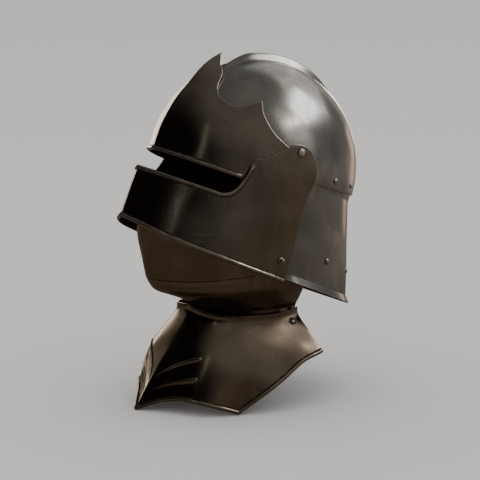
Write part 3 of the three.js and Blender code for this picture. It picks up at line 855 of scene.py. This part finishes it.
def makeTail():
    columns = spaced(tail["start"], (360 - tail["start"], 0.9))
    u, v = plateGrid(columns, level(tail["bottom"]), level(tail["top"]), 10, 3, 0.5, 70)
    face = tailFace(u, v)
    lower = v - tail["bottom"]
    crest = 0.9 * near(lower, 1.0)
    place = fromHelmet(face)
    dirtAndShade = ringsRound(place, seats["tail_rivet"].values(), 3.6, 1.3)
    # darker in the flange's bend, and painted shadow under the skull's edge and behind the visor's rear
    # edge
    dirtAndShade = np.maximum(dirtAndShade, 0.55 * near(lower - tail["flange"], 1.0))
    visorEdge = mirroredCurve(visorFace(*edgeStations(visorTop, 96, visor["end"], 0.5)))
    visorRear = visorFace(np.full(40, visor["end"]), np.linspace(-158, -32, 40))
    for side in (1, -1):
        dirtAndShade = np.maximum(dirtAndShade, 0.7 * near(distanceTo(face, visorRear * np.array([side, 1, 1])), 3.4))
    skullRear = skullFace(np.linspace(-89, 89, 80), np.full(80, crown["hemAlong"]))
    dirtAndShade = np.maximum(dirtAndShade, 0.8 * near(distanceTo(face, skullRear), 2.6))
    return makePlate("tailPlate", (tailFace, u, v, helmetCentre), fromHelmet, np.zeros_like(u),
                     {"wearAndSheen": crest, "grimeAndShade": dirtAndShade}, finishes["polished"])


def makeChin():
    columns = bothSides(spaced(0, (6, 0.5), (chin["end"], 1.0)))
    heights = spaced(chin["bottom"], (-196, 1.2), (-170, 1.0), (chin["crease"], 0.5), (-155, 0.5),
                     (-140, 1.2), (-98, 2.0))
    upper = -98 + (chinTop(columns) + 98)[:, None] * np.linspace(0, 1, 25)[None, 1:]
    v = np.concatenate([np.repeat(heights[None, :], len(columns), 0), upper], 1)
    u = np.repeat(columns[:, None], v.shape[1], 1)
    face = chinFace(u, v)
    below = chin["crease"] - v
    # a lighter band just under the crease is a painted reflection
    fade = 1 - step(np.abs(u), 40, 75)
    paintedSheenBand = 0.5 * fade * step(below, 0.2, 1.2) * (1 - step(below, 5, 9))
    crest = np.maximum(paintedSheenBand, 0.6 * near(face[..., 0], 1.2) * (v > chin["neck"]))
    # painted shade where the chin passes into the gorget's collar and a painted dark line along the crease;
    # the lower chin a little darker
    dirtAndShade = np.maximum(0.8 * near(v - chin["neck"], 3.0), 0.8 * near(below, 0.7))
    dirtAndShade = np.maximum(dirtAndShade, 0.12 * step(below, 10, 20))
    return makePlate("chinPlate", (chinFace, u, v, bevorCentre), fromBevor, np.zeros_like(u),
                     {"wearAndSheen": crest, "grimeAndShade": dirtAndShade}, finishes["dark"])


def ribRelief(face, line):
    # a raised rib along a line of the gorget, widening away from the keel
    azimuths = np.linspace(line[0][0], line[-1][0], 60)
    heights = through(*line)(azimuths)
    total = np.zeros(face.shape[:-1])
    for side in (1, -1):
        path = gorgetFace(side * azimuths, heights)
        flat = face.reshape(-1, 3)
        gaps = np.linalg.norm(flat[:, None, :] - path[None, :, :], axis=-1)
        nearest = gaps.argmin(1)
        share = nearest / (len(path) - 1)
        half = gorget["ribWidth"] / 2 * (0.35 + 0.65 * share)
        gap = gaps.min(1)
        round_ = np.sqrt(np.clip(1 - (gap / half) ** 2, 0, 1))
        rise = step(share, 0.0, 0.12) * (0.3 + 0.7 * share)
        total = np.maximum(total, (gorget["ribProud"] * rise * round_).reshape(total.shape))
    return total


def makeGorget():
    columns = bothSides(spaced(0, (30, 0.36), (44, 0.7), (52, 0.36), (gorget["end"], 1.1)))
    u, v = plateGrid(columns, gorgetHem, gorgetTop, 7, 10, 0.5, 84)
    face = gorgetFace(u, v)
    hem = mirroredCurve(gorgetFace(*edgeStations(gorgetHem, 0, gorget["end"], 0.5)))
    top = mirroredCurve(gorgetFace(*edgeStations(gorgetTop, 0, gorget["end"], 2.0)))
    lower, upper = distanceTo(face, hem), distanceTo(face, top)
    rib = np.maximum(ribRelief(face, gorget["ribs"][0]), ribRelief(face, gorget["ribs"][1]))
    bead = roll(lower, 1.0)
    relief = np.maximum(bead, rib)
    crest = np.maximum(rollWear(bead), 0.9 * rib / gorget["ribProud"])
    crest = np.maximum(crest, 0.7 * near(face[..., 0], 1.2))
    dirtAndShade = 0.9 * rollFoot(lower)
    place = fromBevor(face)
    dirtAndShade = np.maximum(dirtAndShade, ringsRound(place, seats["gorget_rivet"].values(), 3.8, 1.4))
    # painted shade along the front of the collar's top, under the chin
    dirtAndShade = np.maximum(dirtAndShade, 0.75 * near(upper, 3.0) * (1 - step(np.abs(u), 38, 60)))
    return makePlate("gorgetPlate", (gorgetFace, u, v, bevorCentre), fromBevor, relief,
                     {"wearAndSheen": crest, "grimeAndShade": dirtAndShade}, finishes["dark"])


plateTable = [                              # (maker, node it stands for, body, slot)
    (makeSkull, "skull", "helmet", "polished_steel"),
    (makeBrow, "brow_plate", "helmet", "warm_steel"),
    (makeVisor, "visor", "visor", "warm_steel"),
    (makeTail, "tail_plate", "helmet", "polished_steel"),
    (makeChin, "chin_plate", "helmet", "dark_steel"),
    (makeGorget, "gorget_plate", "gorget", "dark_steel"),
]
for make, nodeName, body, slotName in plateTable:
    plate = make()
    declare(plate, nodeName, body)
    print("plate made:", plate.name, len(plate.data.polygons), "faces")


rivetShape = {"head": 3.7, "dome": 2.1, "shank": 1.9, "burr": 3.0, "burrHeight": 0.8, "sides": 40}
screwShape = {"head": 5.2, "dome": 2.4, "slot": 1.7, "slotDepth": 1.5, "shank": 2.5, "nut": 4.6,
              "nutHeight": 3.0, "stand": 1.2}
studShape = {"radius": 2.6, "length": 6.5, "collar": 3.8, "collarHeight": 1.2, "burrHeight": 0.9}


def domeProfile(radius, rise, foot, count=9):
    # (radius, height) from the head's rim to its top
    angles = np.linspace(0, math.pi / 2, count)
    points = [(radius - 0.15, foot), (radius, foot + 0.15)]
    points += [(radius * math.cos(a), foot + 0.3 + (rise - 0.3) * math.sin(a)) for a in angles]
    points[-1] = (0.0, points[-1][1])
    return points


def rivetProfile(shape, grip):
    under = -grip - plates["thickness"] * 0.2
    tip = under - shape["burrHeight"]
    low = [(0.0, tip), (shape["burr"] - 0.5, tip), (shape["burr"], tip + 0.35), (shape["burr"], under),
           (shape["shank"], under), (shape["shank"], 0.05)]
    return low + domeProfile(shape["head"], shape["dome"], 0.05)


def turnedMesh(name, profile, seat, sidesCount):
    # a lathe-turned piece standing on its seat
    radius = np.array([p[0] for p in profile])
    height = np.array([p[1] for p in profile])
    angle = np.linspace(0, 2 * math.pi, sidesCount, endpoint=False)
    points = [(0.0, 0.0, height[0])]
    for r, h in zip(radius[1:-1], height[1:-1]):
        points += [(r * math.cos(a), r * math.sin(a), h) for a in angle]
    points.append((0.0, 0.0, height[-1]))
    rings = len(profile) - 2
    faces = []
    for i in range(sidesCount):
        j = (i + 1) % sidesCount
        faces.append((0, 1 + j, 1 + i))
        for k in range(rings - 1):
            a, b = 1 + k * sidesCount, 1 + (k + 1) * sidesCount
            faces.append((a + i, a + j, b + j, b + i))
        last = 1 + (rings - 1) * sidesCount
        faces.append((last + i, last + j, len(points) - 1))
    mesh = newMesh(name, points, faces)
    spot, normal = Vector(seat[0]), Vector(seat[1])
    across = helmetUp.cross(normal).normalized()
    standing = Matrix((across, normal.cross(across), normal)).transposed().to_4x4()
    mesh.transform(Matrix.Translation(spot) @ standing @ Matrix.Scale(mm, 4))
    return mesh


def finishFastener(name, mesh, finish, nodeName, body):
    mesh.polygons.foreach_set("use_smooth", np.ones(len(mesh.polygons), bool))
    mesh.set_sharp_from_angle(angle=math.radians(42))
    mesh.materials.append(finish)
    declare(addObject(name, mesh), nodeName, body)


grips = {"skull_rivet": 2 * plates["thickness"] + plates["lap"], "tail_rivet": plates["thickness"],
         "gorget_rivet": 2 * plates["thickness"] + gorgetPivot["clearance"]}
for kind, grip in grips.items():
    for label, seat in seats[kind].items():
        nodeName = f"{kind}_{label}"
        mesh = turnedMesh(nodeName + ".fine", rivetProfile(rivetShape, grip), seat, rivetShape["sides"])
        finishFastener(nodeName + ".fine", mesh, finishes["rivet"], nodeName, "helmet")
print("rivets made")


def slottedScrew(label, seat):
    # a domed head with a straight slot, its shank and the nut inside
    nodeName = f"pivot_screw_{label}"
    inside = armAtPivot - float(crownPoint(np.array([pivotAzimuth]), np.array([0.0]))[0, 0])
    grip = inside + plates["thickness"] + screwShape["stand"]
    shape = {**screwShape, "burr": screwShape["nut"], "burrHeight": screwShape["nutHeight"]}
    profile = rivetProfile(shape, grip)
    mesh = turnedMesh(nodeName + ".fine", profile, seat, 64)
    spot, normal = Vector(seat[0]), Vector(seat[1])
    acrossSlot = helmetUp.cross(normal)
    top = screwShape["dome"] + 0.4
    bottom = screwShape["dome"] - screwShape["slotDepth"]
    corners = []
    for h in (bottom, top + 1):
        for a, b in ((-1, -1), (1, -1), (1, 1), (-1, 1)):
            offset = (helmetUp * a * screwShape["head"] * 1.5 + acrossSlot * b * screwShape["slot"] / 2
                      + normal * h)
            corners.append(spot + offset * mm)
    walls = [(0, 3, 2, 1), (4, 5, 6, 7), (0, 1, 5, 4), (1, 2, 6, 5), (2, 3, 7, 6), (3, 0, 4, 7)]
    cutter = addObject("slotCutter", newMesh("slotCutter", corners, walls))
    blank = addObject("screwBlank", mesh)
    cut = blank.modifiers.new("slot", "BOOLEAN")
    cut.operation, cut.object, cut.solver = "DIFFERENCE", cutter, "EXACT"
    depsgraph = bpy.context.evaluated_depsgraph_get()
    slotted = bpy.data.meshes.new_from_object(blank.evaluated_get(depsgraph))
    slotted.name = nodeName + ".fine"
    for thing in (cutter, blank):
        bpy.data.objects.remove(thing)
    finishFastener(nodeName + ".fine", slotted, finishes["screw"], nodeName, "helmet")


for label, seat in seats["pivot_screw"].items():
    slottedScrew(label, seat)


def makeStud():
    r, length, collar = studShape["radius"], studShape["length"], studShape["collar"]
    low, burr, shank = studShape["collarHeight"], rivetShape["burr"], rivetShape["shank"]
    under = -plates["thickness"] - 0.3
    tip = under - studShape["burrHeight"]
    profile = [(0.0, tip), (burr, tip), (burr, under), (shank, under),
               (shank, 0.05), (collar - 0.2, 0.05), (collar, 0.3), (collar, low - 0.3),
               (collar - 0.3, low), (r + 0.2, low + 0.1), (r, low + 0.5), (r, length - 0.9),
               (r - 0.25, length - 0.35), (r - 0.9, length - 0.05), (0.0, length)]
    mesh = turnedMesh("visor_stud.fine", profile, seats["visor_stud"][""], rivetShape["sides"])
    finishFastener("visor_stud.fine", mesh, finishes["rivet"], "visor_stud", "visor")


makeStud()
print("screws and stud made")


low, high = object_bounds()
middle = (low + high) / 2

studio = {
    "floorColour": (0.80, 0.79, 0.77), "floorGap": 0.4 * mm, "floorSize": 30,
    # the floor as the steel mirrors it: a painted reflection, darker in front and lighter behind
    "paintedFloorReflection": (0.10, 0.082, 0.066), "paintedRearFloorReflection": (0.27, 0.24, 0.215),
    "floorTurn": (-0.26, 0.97), "floorFade": (0.1, 1.7),
    "backdrop": (1.02, 1.01, 0.995), "fill": (0.86, 0.855, 0.85),
    # the room as the steel mirrors it: dark before the face, lighter behind and overhead
    "darkSide": (0.004, 0.0035, 0.003), "lightSide": (0.14, 0.133, 0.123), "lightFrom": (150, 45),
    "lightSpread": (-0.12, 0.62),
    # panels: azimuth and elevation from the helmet, distance, width and height in metres, brightness
    "panels": {
        "keyPanel": (157, 37, 2.6, 1.35, 0.85, 3.2, (1.0, 0.98, 0.95)),
        "rearPanel": (192, 42, 2.6, 2.9, 1.5, 0.60, (1.0, 0.97, 0.93)),
        "sidePanel": (130, 27, 2.6, 0.9, 1.6, 0.50, (1.0, 0.97, 0.93)),
        "shoulderPanel": (126, 38, 0.68, 0.12, 0.09, 2.6, (1.0, 0.95, 0.90)),
        "tailGlow": (-162, -2, 1.2, 0.26, 0.40, 0.62, (1.0, 0.70, 0.52)),
        "topLight": (150, 87, 3.2, 2.4, 2.4, 0.8, (1.0, 0.99, 0.97)),
        "rightRim": (218, 10, 2.8, 1.7, 2.2, 0.26, (1.0, 0.84, 0.72)),
        "combPanel": (-131, -4, 2.6, 0.5, 0.75, 9.0, (1.0, 0.98, 0.96)),
        "leftRim": (-100, 0, 2.6, 1.35, 1.3, 2.0, (1.0, 0.88, 0.74)),
        "leftFill": (-78, 12, 2.6, 1.2, 1.4, 0.13, (1.0, 0.86, 0.72)),
        "strip": (31, 30, 2.6, 0.18, 1.4, 0.30, (1.0, 0.97, 0.92)),
    },
    "floorLight": "topLight",               # lights the floor; the others show in the steel only
    "azimuth": 57, "elevation": 11.5, "distance": 2.5, "lens": 146.5,
    "aim": (0.0107, -0.0016, -0.0179),      # from the middle of the object's box
}


def directionOf(azimuth, elevation):
    a, e = math.radians(azimuth), math.radians(elevation)
    return Vector((math.sin(a) * math.cos(e), -math.cos(a) * math.cos(e), math.sin(e)))


def lyingAlong(tree, output, direction):
    # how far a place of the floor, or a way into the room, lies along a direction
    dot = addNode(tree, "VectorMath", operation="DOT_PRODUCT")
    tree.links.new(addNode(tree, "TexCoord").outputs[output], dot.inputs[0])
    dot.inputs[1].default_value = direction
    return dot.outputs["Value"]


def lookBack(thing, way, place):
    # stands a lamp or the camera at a place, looking back along the way out to it
    thing.location = place
    thing.rotation_mode = "QUATERNION"
    thing.rotation_quaternion = way.to_track_quat("Z", "Y")


def makeFloor():
    size = studio["floorSize"]
    z = low.z - studio["floorGap"]
    mesh = newMesh("floor", [(-size, -size, z), (size, -size, z), (size, size, z), (-size, size, z)],
                   [(0, 1, 2, 3)])
    floor = addObject("floor", mesh)
    material, tree, shader = newFinish("paleFloor")
    shader.inputs["Roughness"].default_value = 0.9
    shader.inputs["Specular IOR Level"].default_value = 0.0
    # the floor as the steel mirrors it is painted darker than the floor itself, lighter behind the helmet:
    # a painted reflection
    behind = remap(tree, lyingAlong(tree, "Object", (*studio["floorTurn"], 0)), *studio["floorFade"])
    paintedReflection = mixColour(tree, behind, studio["paintedFloorReflection"], studio["paintedRearFloorReflection"])
    path = addNode(tree, "LightPath")
    feed(tree, shader.inputs["Base Color"],
         mixColour(tree, path.outputs["Is Glossy Ray"], studio["floorColour"], paintedReflection))
    mesh.materials.append(material)


def makeRoom():
    world = bpy.data.worlds.new("studioRoom")
    bpy.context.scene.world = world
    world.use_nodes = True
    tree = world.node_tree
    towardsLight = lyingAlong(tree, "Generated", directionOf(*studio["lightFrom"]))
    lit = remap(tree, towardsLight, *studio["lightSpread"])
    room = mixColour(tree, lit, studio["darkSide"], studio["lightSide"])
    path = addNode(tree, "LightPath")
    room = mixColour(tree, path.outputs["Is Diffuse Ray"], room, studio["fill"])
    room = mixColour(tree, path.outputs["Is Camera Ray"], room, studio["backdrop"])
    background = tree.nodes["Background"]
    feed(tree, background.inputs["Color"], room)
    background.inputs["Strength"].default_value = 1.0


def makePanel(name, azimuth, elevation, distance, width, height, brightness, colour):
    data = bpy.data.lights.new(name, "AREA")
    data.shape = "RECTANGLE"
    data.size, data.size_y = width, height
    data.energy = brightness * math.pi * width * height
    data.color = colour
    lamp = addObject(name, data)
    way = directionOf(azimuth, elevation)
    lookBack(lamp, way, middle + way * distance)
    lamp.visible_camera = False
    lamp.visible_diffuse = name == studio["floorLight"]
    lamp.visible_glossy = name != studio["floorLight"]


def makeCamera():
    data = bpy.data.cameras.new("camera")
    data.lens = studio["lens"]
    data.sensor_width = 36
    camera = addObject("camera", data)
    way = directionOf(studio["azimuth"], studio["elevation"])
    lookBack(camera, way, middle + Vector(studio["aim"]) + way * studio["distance"])
    bpy.context.scene.camera = camera


makeFloor()
makeRoom()
for name, settings in studio["panels"].items():
    makePanel(name, *settings)
makeCamera()
print("studio made")
